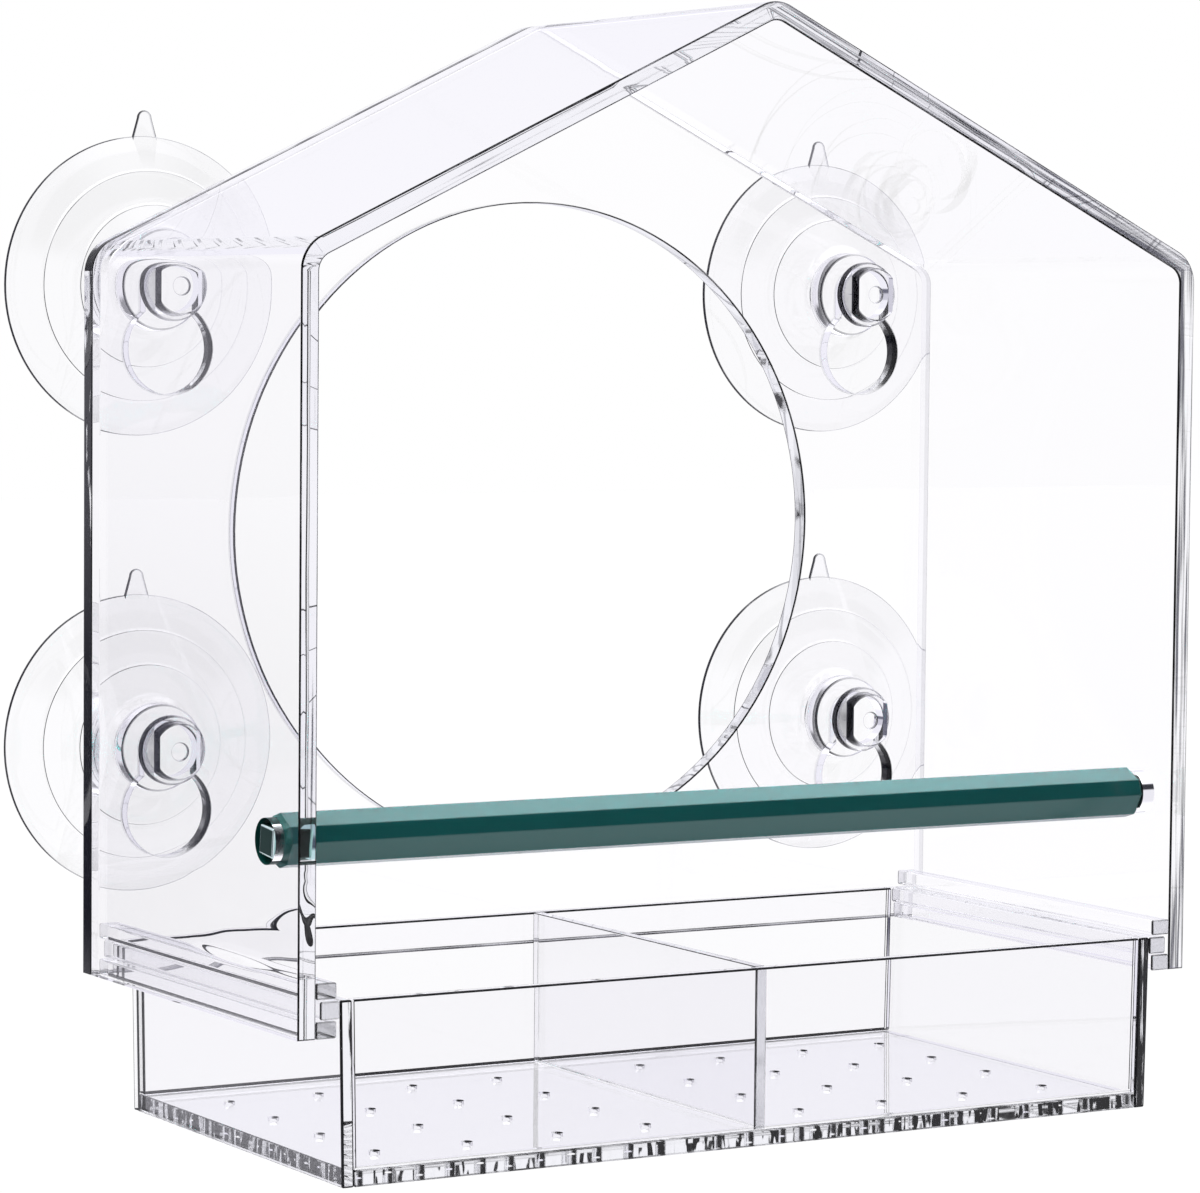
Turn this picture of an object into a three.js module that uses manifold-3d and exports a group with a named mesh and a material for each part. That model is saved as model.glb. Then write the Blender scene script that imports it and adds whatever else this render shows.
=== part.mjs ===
// Window bird feeder. A clear acrylic house with a gabled roof hangs on four suction cups.
// It holds a green perch bar and a drained seed tray that slides out to the front.
// Sizes are in millimetres. X runs along the width, +Y points at the window pane, +Z is up.
// The origin lies on the pane, in the middle of the four suction cups.
import * as THREE from "three";
import { mergeVertices } from "three/addons/utils/BufferGeometryUtils.js";
import Module from "manifold-3d";

const wasm = await Module();
wasm.setup();

// Clearances that several pieces share
const cementGap = 0.1; // film of cement between bonded acrylic faces
const slideGap = 0.3; // between pieces that move on each other
const cutOverrun = 2; // how far a cutting solid runs past the face it cuts

// House canopy: one sheet with three warm bends, open at the front and below
const houseWidth = 250;
const wallHeight = 178.5; // lower edge to where the wall plane meets the roof plane
const roofRise = 60.5; // from there to where the two roof planes meet
const canopyDepth = 114;
const sheetThickness = 4.5;
const bendRadius = 4.5; // inside of the three bends
const bendSteps = 6;

// Back panel: a flat sheet with the canopy's outline, a large round hole and four keyholes
const panelThickness = 5;
const lobeToRoundHole = 6.75; // measured across, from the one's side to the other's
const roundHoleHeight = 109; // its centre, above the lower edge
const roundHoleSteps = 72;
const lobeClearance = 2.55; // round a cup's head, in the part of the keyhole that lets it in
const keyholeDrop = 15.5; // from the seat's centre down to the lobe's centre
const lobeSteps = 20;
const seatSteps = 12;

// Suction cups: soft clear mouldings, each turned about its own axis
const cupInset = 23.5; // axes, from the house's side faces
const lowerCupHeight = 55; // axes of the lower cups, above the house's lower edge
const upperCupDrop = 8.5; // axes of the upper cups, below the eaves
const cupRadius = 37.5;
const cupStandOff = 17; // pane to the back panel's rear face
const rimThickness = 0.9;
const sealWidth = 3.5; // flat ring that meets the pane
const hollowDepth = 5;
const hollowShoulderRadius = 22;
const hollowShoulderDepth = 3.6;
const outerStepRadius = 28.7;
const outerStepDepth = 3.9;
const innerStepRadius = 20.2;
const innerStepDepth = 7;
const stepRise = 0.5;
const bossRadius = 11;
const bossFilletRadius = 1.8;
const bossFootDepth = 10.2;
const neckRadius = 6.4;
const headRadius = 8.7;
const headFlange = 2.4;
const headEdge = 0.5;
const headLength = 6;
const headBlockRadius = 7.2;
const headAcrossFlats = 10.9;
const gateRadius = 2.2;
const gateDepth = 0.6;
const tabBaseWidth = 7.6;
const tabTipRadius = 1.9;
const tabHeight = 6.5;
const tabRoot = 2; // how far the tab reaches inside the rim
const tabThickness = 1;
const tabLift = 0.2; // the tab stays this far off the pane
const tabTipSteps = 8;
const cupSteps = 48;

// Guide strips: two on the inside of each side wall, with the tray's slot between them
const stripWidth = 5.2;
const lowerStripHeight = 4;
const upperStripHeight = 3.8;

// Tray: bonded sheets, with a lip along each side that runs in the slots
const traySideGap = 0.9; // between the tray's rim and a guide strip
const lipEndGap = 1.2; // between a lip and the house's side wall
const trayDraft = 0.8; // how far each side leans in from the rim to the underside
const trayHeight = 43;
const trayWallThickness = 3;
const trayFloorThickness = 4;
const lipHeight = 4.2;
const lipPlay = 0.5; // spare height above the lip
const drainRadius = 1.4;
const drainSideMargin = 15; // outermost holes, from the side wall's inside
const drainMiddleMargin = 21.9; // innermost holes, from the tray's middle
const drainEndMargin = 20.1; // first and last holes, from the tray's front and rear
const drainsAcross = 4; // in each of the two compartments
const drainsDeep = 4;
const drainSteps = 12;

// Perch: an eight-sided bar with a square stub at each end, in round holes in the side walls
const perchNarrowFace = 4;
const perchWideFace = 5.8;
const perchSectionTurn = THREE.MathUtils.degToRad(22.5); // from the stub's flats to a narrow face
const perchRestTurn = THREE.MathUtils.degToRad(6); // how far the bar has rolled in its holes
const perchChamfer = 1.2;
const perchSetBack = 17; // axis, behind the house's front edge
const perchHeight = 43.5; // axis, above the house's lower edge
const stubSide = 7.2;
const stubInset = 0.2; // stub end, inside the wall's outer face
const perchHoleSteps = 32;

// Places that follow from the sizes above
const halfWidth = houseWidth / 2;
const roofAngle = Math.atan(roofRise / halfWidth);
const cupSpacingAcross = houseWidth - 2 * cupInset;
const cupSpacingUp = wallHeight - upperCupDrop - lowerCupHeight;
const lowerEdge = -lowerCupHeight - cupSpacingUp / 2;
const panelRear = -cupStandOff;
const panelFront = panelRear - panelThickness;
const canopyRear = panelFront - cementGap;
const houseFront = canopyRear - canopyDepth;
const innerHalfWidth = halfWidth - sheetThickness;
const outerBendRadius = bendRadius + sheetThickness;
const seatRadius = neckRadius + slideGap;
const keyholeLobeRadius = headRadius + lobeClearance;
const roundHoleRadius = cupSpacingAcross / 2 - keyholeLobeRadius - lobeToRoundHole;
const stripOuter = innerHalfWidth - cementGap;
const stripInner = stripOuter - stripWidth;
const slotHeight = slideGap + lipHeight + lipPlay;
const trayRim = lowerEdge + lowerStripHeight + slideGap + lipHeight;
const trayUnderside = trayRim - trayHeight;
const trayFloorTop = trayUnderside + trayFloorThickness;
const trayTopHalfWidth = stripInner - traySideGap;
const trayDepth = canopyDepth - slideGap;
const trayRear = houseFront + trayDepth;
const perchHoleRadius = stubSide / Math.SQRT2 + slideGap;

// Materials
const acrylic = new THREE.MeshStandardMaterial({
  color: 0xf1f2f9, roughness: 0.04, metalness: 0, transparent: true, opacity: 0.3,
});
const trayAcrylic = new THREE.MeshStandardMaterial({
  color: 0xeceef4, roughness: 0.06, metalness: 0, transparent: true, opacity: 0.3,
});
const softVinyl = new THREE.MeshStandardMaterial({
  color: 0xe9ebef, roughness: 0.14, metalness: 0, transparent: true, opacity: 0.4,
});
const greenPlastic = new THREE.MeshStandardMaterial({
  color: 0x1c4f4b, roughness: 0.22, metalness: 0,
});

// A closed geometry as a solid that can be joined and cut. Faces that shrink to a line at an
// axis are dropped, and a shape whose profile ran the other way round is turned outside out.
function solidOf(geometry) {
  const bare = geometry.clone();
  bare.deleteAttribute("normal");
  bare.deleteAttribute("uv");
  const merged = mergeVertices(bare);
  const corners = [];
  for (let i = 0; i < merged.index.count; i += 3) {
    const [a, b, c] = [0, 1, 2].map((k) => merged.index.getX(i + k));
    if (a !== b && b !== c && c !== a) corners.push(a, b, c);
  }
  const build = () => new wasm.Manifold(new wasm.Mesh({
    numProp: 3,
    vertProperties: merged.attributes.position.array,
    triVerts: new Uint32Array(corners),
  }));
  const made = build();
  if (made.volume() > 0) return made;
  corners.reverse();
  return build();
}

// A solid back as geometry, with flat faces.
function geometryOf(solid) {
  const mesh = solid.getMesh();
  const indexed = new THREE.BufferGeometry();
  indexed.setAttribute("position", new THREE.BufferAttribute(mesh.vertProperties, mesh.numProp));
  indexed.setIndex(new THREE.BufferAttribute(mesh.triVerts, 1));
  const flat = indexed.toNonIndexed();
  flat.computeVertexNormals();
  return flat;
}

function piece(name, geometry, material) {
  const mesh = new THREE.Mesh(geometry, material);
  mesh.name = name;
  return mesh;
}

// Points of an arc in the XZ plane, both ends included.
function arcPoints(x, z, radius, from, to, steps) {
  return Array.from({ length: steps + 1 }, (_, i) => {
    const angle = from + ((to - from) * i) / steps;
    return new THREE.Vector2(x + radius * Math.cos(angle), z + radius * Math.sin(angle));
  });
}

function circlePoints(x, z, radius, steps) {
  return arcPoints(x, z, radius, 0, 2 * Math.PI, steps).slice(1);
}

// A flat outline in the XZ plane, given thickness from y = rear towards the front.
function sheet(outline, thickness, rear) {
  const shape = new THREE.Shape(outline);
  const geometry = new THREE.ExtrudeGeometry(shape, { depth: thickness, bevelEnabled: false });
  geometry.rotateX(Math.PI / 2);
  geometry.translate(0, rear, 0);
  return geometry;
}

// A box between two corners.
function block(low, high) {
  const size = high.map((value, i) => value - low[i]);
  const geometry = new THREE.BoxGeometry(...size);
  geometry.translate(...low.map((value, i) => value + size[i] / 2));
  return geometry;
}

// The house's outline from its left foot over the ridge to its right foot, moved inwards by
// inset, with the two eaves and the ridge rounded to radius.
function gablePoints(inset, radius) {
  const side = halfWidth - inset;
  const eave = lowerEdge + wallHeight + inset * Math.tan(roofAngle) - inset / Math.cos(roofAngle);
  const ridge = lowerEdge + wallHeight + roofRise - inset / Math.cos(roofAngle);
  const eaveTurn = Math.PI / 2 - roofAngle;
  const eaveX = side - radius;
  const eaveZ = eave - radius * Math.tan(eaveTurn / 2);
  const ridgeZ = ridge - radius / Math.cos(roofAngle);
  const upright = Math.PI / 2;
  return [
    new THREE.Vector2(-side, lowerEdge),
    ...arcPoints(-eaveX, eaveZ, radius, Math.PI, Math.PI - eaveTurn, bendSteps),
    ...arcPoints(0, ridgeZ, radius, upright + roofAngle, upright - roofAngle, bendSteps),
    ...arcPoints(eaveX, eaveZ, radius, eaveTurn, 0, bendSteps),
    new THREE.Vector2(side, lowerEdge),
  ];
}

// A keyhole: a round seat for the cup's neck, open downwards into the larger lobe.
function keyholePoints(x, z) {
  const lobeZ = z - keyholeDrop;
  const shoulder = Math.acos(seatRadius / keyholeLobeRadius);
  const lobeFrom = shoulder;
  const lobeTo = -Math.PI - shoulder;
  return [
    ...arcPoints(x, z, seatRadius, Math.PI, 0, seatSteps),
    ...arcPoints(x, lobeZ, keyholeLobeRadius, lobeFrom, lobeTo, lobeSteps),
  ];
}

// The four places of a cup's axis: [name, x, z].
function cupPlaces() {
  const places = [];
  for (const [level, up] of [["upper", 1], ["lower", -1]]) {
    for (const [side, across] of [["left", -1], ["right", 1]]) {
      places.push([`${level}_${side}`, (across * cupSpacingAcross) / 2, (up * cupSpacingUp) / 2]);
    }
  }
  return places;
}

// One suction cup about its own axis, with the pane at y = 0 and its head towards the front.
// The profile runs from the hollow's middle out to the rim and back in to the head's middle.
function cupGeometry() {
  const bossFront = cupStandOff - slideGap;
  const headRear = cupStandOff + panelThickness + slideGap;
  const blockRear = headRear + headFlange;
  const headFront = headRear + headLength;
  const profile = [
    [0, hollowDepth],
    [hollowShoulderRadius, hollowShoulderDepth],
    [cupRadius - sealWidth, 0],
    [cupRadius, 0],
    [cupRadius, rimThickness],
    [outerStepRadius + stepRise, outerStepDepth],
    [outerStepRadius, outerStepDepth + stepRise],
    [innerStepRadius + stepRise, innerStepDepth],
    [innerStepRadius, innerStepDepth + stepRise],
    [bossRadius + bossFilletRadius, bossFootDepth],
    [bossRadius, bossFootDepth + bossFilletRadius],
    [bossRadius, bossFront],
    [neckRadius, bossFront],
    [neckRadius, headRear],
    [headRadius, headRear],
    [headRadius, blockRear - headEdge],
    [headRadius - headEdge, blockRear],
    [headBlockRadius, blockRear],
    [headBlockRadius, headFront - headEdge],
    [headBlockRadius - headEdge, headFront],
    [gateRadius, headFront],
    [gateRadius, headFront - gateDepth],
    [0, headFront - gateDepth],
  ].map(([radius, depth]) => new THREE.Vector2(radius, -depth));
  let cup = solidOf(new THREE.LatheGeometry(profile, cupSteps));
  // Two upright flats on the head
  for (const side of [-1, 1]) {
    const inner = (side * headAcrossFlats) / 2;
    const outer = side * (headBlockRadius + cutOverrun);
    const reach = headBlockRadius + cutOverrun;
    const cut = block(
      [Math.min(inner, outer), -headFront - cutOverrun, -reach],
      [Math.max(inner, outer), -blockRear, reach],
    );
    cup = cup.subtract(solidOf(cut));
  }
  // Pull tab at the top of the rim
  const tipZ = cupRadius + tabHeight - tabTipRadius;
  const tab = sheet(
    [
      new THREE.Vector2(tabBaseWidth / 2, cupRadius - tabRoot),
      ...arcPoints(0, tipZ, tabTipRadius, 0, Math.PI, tabTipSteps),
      new THREE.Vector2(-tabBaseWidth / 2, cupRadius - tabRoot),
    ],
    tabThickness,
    -tabLift,
  );
  return geometryOf(cup.add(solidOf(tab)));
}

function suctionCups() {
  const group = new THREE.Group();
  const geometry = cupGeometry();
  for (const [name, x, z] of cupPlaces()) {
    const cup = piece(`suction_cup_${name}`, geometry, softVinyl);
    cup.position.set(x, 0, z);
    group.add(cup);
  }
  return group;
}

// The bent sheet, with a round hole through each side wall for the perch's stubs.
function houseCanopy() {
  const outline = [
    ...gablePoints(0, outerBendRadius),
    ...gablePoints(sheetThickness, bendRadius).reverse(),
  ];
  const bent = solidOf(sheet(outline, canopyDepth, canopyRear));
  const drill = new THREE.CylinderGeometry(
    perchHoleRadius, perchHoleRadius, houseWidth + cutOverrun, perchHoleSteps,
  );
  drill.rotateZ(Math.PI / 2);
  drill.translate(0, houseFront + perchSetBack, lowerEdge + perchHeight);
  return piece("house_canopy", geometryOf(bent.subtract(solidOf(drill))), acrylic);
}

function backPanel() {
  const holes = [
    circlePoints(0, lowerEdge + roundHoleHeight, roundHoleRadius, roundHoleSteps),
    ...cupPlaces().map(([, x, z]) => keyholePoints(x, z)),
  ];
  const cutDepth = panelThickness + 2 * cutOverrun;
  const panel = holes.reduce(
    (solid, hole) => solid.subtract(solidOf(sheet(hole, cutDepth, panelRear + cutOverrun))),
    solidOf(sheet(gablePoints(0, outerBendRadius), panelThickness, panelRear)),
  );
  return piece("back_panel", geometryOf(panel), acrylic);
}

// Two strips on one side wall; side is -1 on the left and 1 on the right.
function guideStrips(name, side) {
  const low = Math.min(side * stripOuter, side * stripInner);
  const high = Math.max(side * stripOuter, side * stripInner);
  const upperFoot = lowerEdge + lowerStripHeight + slotHeight;
  const strip = (foot, height) =>
    block([low, houseFront, foot], [high, canopyRear, foot + height]);
  return [
    piece(`lower_guide_strip_${name}`, strip(lowerEdge, lowerStripHeight), acrylic),
    piece(`upper_guide_strip_${name}`, strip(upperFoot, upperStripHeight), acrylic),
  ];
}

// Half the tray's outside width at a height z.
function trayHalfWidth(z) {
  return trayTopHalfWidth - (trayDraft * (trayRim - z)) / trayHeight;
}

function traySide(name, side) {
  const topX = side * trayHalfWidth(trayRim);
  const footX = side * trayHalfWidth(trayUnderside);
  const outline = [
    new THREE.Vector2(topX, trayRim),
    new THREE.Vector2(footX, trayUnderside),
    new THREE.Vector2(footX - side * trayWallThickness, trayUnderside),
    new THREE.Vector2(topX - side * trayWallThickness, trayRim),
  ];
  const lipInner = topX + side * cementGap;
  const lipOuter = side * (innerHalfWidth - lipEndGap);
  const lip = block(
    [Math.min(lipInner, lipOuter), houseFront, trayRim - lipHeight],
    [Math.max(lipInner, lipOuter), trayRear, trayRim],
  );
  return [
    piece(`tray_wall_${name}`, sheet(outline, trayDepth, trayRear), trayAcrylic),
    piece(`tray_lip_${name}`, lip, trayAcrylic),
  ];
}

// A wall that closes the tray's front or back, between the side walls and on the floor.
function trayEnd(name, rear) {
  const foot = trayFloorTop + cementGap;
  const inset = trayWallThickness + cementGap;
  const topX = trayHalfWidth(trayRim) - inset;
  const footX = trayHalfWidth(foot) - inset;
  const outline = [
    new THREE.Vector2(topX, trayRim),
    new THREE.Vector2(-topX, trayRim),
    new THREE.Vector2(-footX, foot),
    new THREE.Vector2(footX, foot),
  ];
  return piece(`tray_wall_${name}`, sheet(outline, trayWallThickness, rear), trayAcrylic);
}

// The floor plate, with a square grid of drain holes in each compartment.
function trayFloor() {
  const halfPlate = trayHalfWidth(trayUnderside) - trayWallThickness - cementGap;
  const drill = new THREE.CylinderGeometry(
    drainRadius, drainRadius, trayFloorThickness + 2 * cutOverrun, drainSteps,
  );
  drill.rotateX(Math.PI / 2);
  const height = trayUnderside + trayFloorThickness / 2;
  const outerX = halfPlate - drainSideMargin;
  const pitchAcross = (outerX - drainMiddleMargin) / (drainsAcross - 1);
  const pitchDeep = (trayDepth - 2 * drainEndMargin) / (drainsDeep - 1);
  let plate = solidOf(
    block([-halfPlate, houseFront, trayUnderside], [halfPlate, trayRear, trayFloorTop]),
  );
  for (let i = 0; i < drainsAcross; i += 1) {
    const x = outerX - i * pitchAcross;
    for (let j = 0; j < drainsDeep; j += 1) {
      const y = houseFront + drainEndMargin + j * pitchDeep;
      for (const side of [-1, 1]) {
        const drain = drill.clone().translate(side * x, y, height);
        plate = plate.subtract(solidOf(drain));
      }
    }
  }
  return piece("tray_floor", geometryOf(plate), trayAcrylic);
}

function tray() {
  const group = new THREE.Group();
  const wall = trayWallThickness + cementGap;
  const divider = block(
    [-trayWallThickness / 2, houseFront + wall, trayFloorTop + cementGap],
    [trayWallThickness / 2, trayRear - wall, trayRim],
  );
  group.add(
    trayFloor(),
    trayEnd("front", houseFront + trayWallThickness),
    trayEnd("back", trayRear),
    ...traySide("left", -1),
    ...traySide("right", 1),
    piece("tray_divider", divider, trayAcrylic),
  );
  return group;
}

// The bar's section, with every face moved inwards by inset. Narrow and wide faces take turns,
// each an eighth of a turn further round.
function perchSection(inset) {
  const half = perchNarrowFace / 2 - inset * Math.tan(Math.PI / 8);
  const reach = perchNarrowFace / 2 + perchWideFace / Math.SQRT2 - inset;
  const centre = new THREE.Vector2();
  const points = [];
  for (let quarter = 0; quarter < 4; quarter += 1) {
    const turn = (quarter * Math.PI) / 2 + perchSectionTurn;
    points.push(new THREE.Vector2(reach, -half).rotateAround(centre, turn));
    points.push(new THREE.Vector2(reach, half).rotateAround(centre, turn));
  }
  return new THREE.Shape(points);
}

// The bar along X, with its ends chamfered, and a square stub through it to both side walls.
function perchBar() {
  const length = 2 * (innerHalfWidth - slideGap);
  const bar = new THREE.ExtrudeGeometry(perchSection(perchChamfer), {
    depth: length - 2 * perchChamfer,
    bevelSize: perchChamfer,
    bevelThickness: perchChamfer,
    bevelSegments: 1,
  });
  bar.translate(0, 0, perchChamfer - length / 2);
  bar.rotateY(-Math.PI / 2);
  bar.rotateX(-Math.PI / 2);
  const stubEnd = halfWidth - stubInset;
  const stub = block([-stubEnd, -stubSide / 2, -stubSide / 2], [stubEnd, stubSide / 2, stubSide / 2]);
  const perch = piece("perch_bar", geometryOf(solidOf(bar).add(solidOf(stub))), greenPlastic);
  perch.position.set(0, houseFront + perchSetBack, lowerEdge + perchHeight);
  perch.rotation.x = perchRestTurn;
  return perch;
}

const feeder = new THREE.Group();
const house = new THREE.Group();
house.add(
  houseCanopy(),
  backPanel(),
  ...guideStrips("left", -1),
  ...guideStrips("right", 1),
);
feeder.add(suctionCups(), house, perchBar(), tray());

export default feeder;
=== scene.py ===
"""Window bird feeder: a clear acrylic house on four suction cups, with a green perch and a seed tray.

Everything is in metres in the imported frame: the pane is at y = 0, the open front looks along -Y.
"""
import math

import bmesh
import bpy
from mathutils import Matrix, Vector
from mathutils.geometry import tessellate_polygon


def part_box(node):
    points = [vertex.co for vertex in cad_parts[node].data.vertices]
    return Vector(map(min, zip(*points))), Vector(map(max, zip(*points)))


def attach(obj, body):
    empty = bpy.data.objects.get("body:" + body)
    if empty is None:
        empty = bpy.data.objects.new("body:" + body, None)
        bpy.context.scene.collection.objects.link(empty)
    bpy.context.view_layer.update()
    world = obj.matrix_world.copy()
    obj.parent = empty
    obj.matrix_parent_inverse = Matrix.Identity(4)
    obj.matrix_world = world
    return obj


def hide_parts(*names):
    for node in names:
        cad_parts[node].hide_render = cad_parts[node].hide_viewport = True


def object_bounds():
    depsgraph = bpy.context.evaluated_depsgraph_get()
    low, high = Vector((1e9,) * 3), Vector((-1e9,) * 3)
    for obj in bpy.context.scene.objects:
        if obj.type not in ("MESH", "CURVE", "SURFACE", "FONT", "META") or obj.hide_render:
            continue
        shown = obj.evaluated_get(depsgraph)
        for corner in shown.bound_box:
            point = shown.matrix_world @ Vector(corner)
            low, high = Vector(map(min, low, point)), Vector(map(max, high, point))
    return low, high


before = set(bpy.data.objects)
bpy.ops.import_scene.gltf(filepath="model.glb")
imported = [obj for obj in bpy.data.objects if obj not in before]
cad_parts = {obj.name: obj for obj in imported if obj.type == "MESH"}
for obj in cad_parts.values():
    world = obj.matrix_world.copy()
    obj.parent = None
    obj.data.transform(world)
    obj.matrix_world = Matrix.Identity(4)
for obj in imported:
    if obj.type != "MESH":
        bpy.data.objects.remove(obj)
cad_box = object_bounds()

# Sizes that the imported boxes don't show
THICKNESS = 0.0045
WALL_HEIGHT = 0.1785
ROOF_RISE = 0.0605
BEND_INSIDE = 0.0045
ROUND_HOLE = 0.0835
ROUND_HOLE_HEIGHT = 0.109
KEYHOLE_LOBE = 0.01125
KEYHOLE_SEAT = 0.0067
KEYHOLE_DROP = 0.0155
TRAY_WALL = 0.003
TRAY_DRAFT = 0.0008
DRAIN_PITCH = 0.0245
DRAIN_MARGIN = 0.015
DRAIN_RADIUS = 0.0014
DRAINS_IN_A_ROW = 4

PERCH_HOLE = 0.00539
PERCH_NARROW_FACE = 0.004
PERCH_WIDE_FACE = 0.0058
PERCH_CHAMFER = 0.0012
PERCH_CHAMFER_EASE = 0.00005
PERCH_END_GAP = 0.0003
PERCH_SECTION_TURN = math.radians(22.5)
PERCH_REST_TURN = math.radians(6)
STUB_SIDE = 0.0072

CUP_STAND_OFF = 0.017
CUP_RADIUS = 0.0375
CUP_PLAY = 0.0003
CUP_STEP_WIDTH = 0.0004
CUP_STEP_DEPTH = 0.0006
BOSS_RADIUS = 0.011
NECK_RADIUS = 0.0064
HEAD_RADIUS = 0.0087
HEAD_DISC = 0.0024
HEAD_LENGTH = 0.006
BLOCK_RADIUS = 0.0072
BLOCK_HALF_WIDTH = 0.00545
GATE_RADIUS = 0.0022
TAB_HALF_WIDTH = 0.0038
TAB_TIP_RADIUS = 0.0019
TAB_LENGTH = 0.0065
TAB_OVERLAP = 0.002
TAB_REAR = -0.0002
TAB_FRONT = -0.0012

# Radii of rounded edges, the depth of the painted shade line in the round hole, and steps around
# curves
POLISHED_EDGE = 0.00035
TRAY_EDGE = 0.00045
SOFT_EDGE = 0.0006
STRIP_EDGE = 0.0005
HOLE_LINE = 0.0022
EASE_STEPS = 3
CORNER_STEPS = 4
TAB_STEPS = 12
BEND_STEPS = 18
DRAIN_STEPS = 24
DRILL_STEPS = 64
CUP_STEPS = 128
CIRCLE_STEPS = 144

WALL_START = 1.4  # a plain wall starts at this many edge radii from the face
LEAST_SLANT = 0.2  # limits how far a sharp corner moves inwards
HAIR = 1e-5  # far below any size here

# A sheet's material slots, by name and by number
SLOTS = (
    "face", "eased", "sawn", "long", "line", "end", "outline", "keyhole", "left_side",
    "right_half", "warped",
)
FACE, EASED, SAWN, LONG, LINE, END, OUTLINE, KEYHOLE, LEFT_SIDE, RIGHT_HALF, WARPED = range(11)
# How far a face turns to a side: limits for the X, Y or Z of its normal
SLIGHTLY, TILTED, MOSTLY, SQUARELY = 0.1, 0.3, 0.9, 0.99

# Camera, fitted to the photograph's corners and circles
CAMERA_PLACE = (-0.5700, -1.0250, 0.0503)
CAMERA_AZIMUTH = math.radians(-30.46)
CAMERA_ELEVATION = math.radians(3.57)
CAMERA_ROLL = math.radians(0.52)
FOCAL_PIXELS = 4447.2
PHOTO_WIDTH = 1200
SENSOR = 36.0
CLIP_START, CLIP_END = 0.01, 50

canopy_low, canopy_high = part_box("house_canopy")
panel_low, panel_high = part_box("back_panel")
FOOT = canopy_low.z
FRONT = canopy_low.y
CANOPY_REAR = canopy_high.y
PANEL_FRONT = panel_low.y
PANEL_REAR = panel_high.y
HALF_WIDTH = canopy_high.x
ROOF_ANGLE = math.atan2(ROOF_RISE, HALF_WIDTH)
HEAD_REAR = CUP_STAND_OFF + (PANEL_REAR - PANEL_FRONT) + CUP_PLAY
BLOCK_REAR = HEAD_REAR + HEAD_DISC


# Outlines

def arc(x, z, radius, start, end, steps):
    return [
        (x + radius * math.cos(start + (end - start) * i / steps),
         z + radius * math.sin(start + (end - start) * i / steps))
        for i in range(steps + 1)
    ]


def circle(x, z, radius, steps=CIRCLE_STEPS):
    return arc(x, z, radius, 0, 2 * math.pi, steps)[1:]


def corner_arc(before, here, after, radius, steps):
    """The arc that rounds the corner here, from the side of before to that of after."""
    here = Vector(here)
    to_before = (Vector(before) - here).normalized()
    to_after = (Vector(after) - here).normalized()
    half = to_before.angle(to_after) / 2
    reach = radius / math.tan(half)
    centre = here + (to_before + to_after).normalized() * (radius / math.sin(half))
    first = here + to_before * reach - centre
    last = here + to_after * reach - centre
    start = math.atan2(first.y, first.x)
    turn = math.atan2(last.y, last.x) - start
    turn = (turn + math.pi) % (2 * math.pi) - math.pi
    return arc(centre.x, centre.y, radius, start, start + turn, steps)


def rounded(corners, radius):
    """A polygon with each corner rounded by an arc."""
    points = []
    for i, here in enumerate(corners):
        after = corners[(i + 1) % len(corners)]
        points += corner_arc(corners[i - 1], here, after, radius, CORNER_STEPS)
    return points


def rectangle(low_u, low_v, high_u, high_v, radius):
    corners = [(low_u, low_v), (high_u, low_v), (high_u, high_v), (low_u, high_v)]
    return rounded(corners, radius)


def signed_area(points):
    count = len(points)
    return sum(
        points[i][0] * points[(i + 1) % count][1] - points[(i + 1) % count][0] * points[i][1]
        for i in range(count)
    ) / 2


def gable(inset, radius):
    """The house's outline, moved inwards by inset, with its eaves and ridge rounded."""
    side = HALF_WIDTH - inset
    eave = FOOT + WALL_HEIGHT + inset * math.tan(ROOF_ANGLE) - inset / math.cos(ROOF_ANGLE)
    ridge = FOOT + WALL_HEIGHT + ROOF_RISE - inset / math.cos(ROOF_ANGLE)
    turn = math.pi / 2 - ROOF_ANGLE
    eave_z = eave - radius * math.tan(turn / 2)
    ridge_z = ridge - radius / math.cos(ROOF_ANGLE)
    up = math.pi / 2
    return (
        [(-side, FOOT)]
        + arc(radius - side, eave_z, radius, math.pi, math.pi - turn, BEND_STEPS)
        + arc(0, ridge_z, radius, up + ROOF_ANGLE, up - ROOF_ANGLE, BEND_STEPS)
        + arc(side - radius, eave_z, radius, turn, 0, BEND_STEPS)
        + [(side, FOOT)]
    )


def keyhole(x, z):
    lobe_z = z - KEYHOLE_DROP
    shoulder = math.acos(KEYHOLE_SEAT / KEYHOLE_LOBE)
    return (
        arc(x, z, KEYHOLE_SEAT, math.pi, 0, CIRCLE_STEPS // 4)
        + arc(x, lobe_z, KEYHOLE_LOBE, shoulder, -math.pi - shoulder, CIRCLE_STEPS // 2)
    )


# Solids

def moved_inwards(points, distance):
    """Each corner of a loop moved to the left of its direction, which is where the material is."""
    result = []
    count = len(points)
    for i in range(count):
        before = Vector(points[i - 1])
        here = Vector(points[i])
        after = Vector(points[(i + 1) % count])
        first = (here - before).normalized()
        last = (after - here).normalized()
        normal = Vector((-first.y - last.y, first.x + last.x)).normalized()
        slant = normal.dot(Vector((-first.y, first.x)))
        result.append(tuple(here + normal * (distance / max(slant, LEAST_SLANT))))
    return result


def edge_rings(thickness, edge, line):
    """(inset, depth) of each ring from one face to the other, with both edges rounded.

    The stretch of wall beside the first face that has the edges' finish ends at line.
    """
    turns = [math.pi / 2 * i / EASE_STEPS for i in range(EASE_STEPS + 1)]
    near = [(edge * (1 - math.sin(t)), edge * (1 - math.cos(t))) for t in turns]
    near[-1] = (0, edge)
    far = [(inset, thickness - depth) for inset, depth in reversed(near)]
    return near + [(0, line), (0, thickness - edge * WALL_START)] + far


def new_object(name, data):
    made = bpy.data.objects.new(name, data)
    bpy.context.scene.collection.objects.link(made)
    return made


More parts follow.
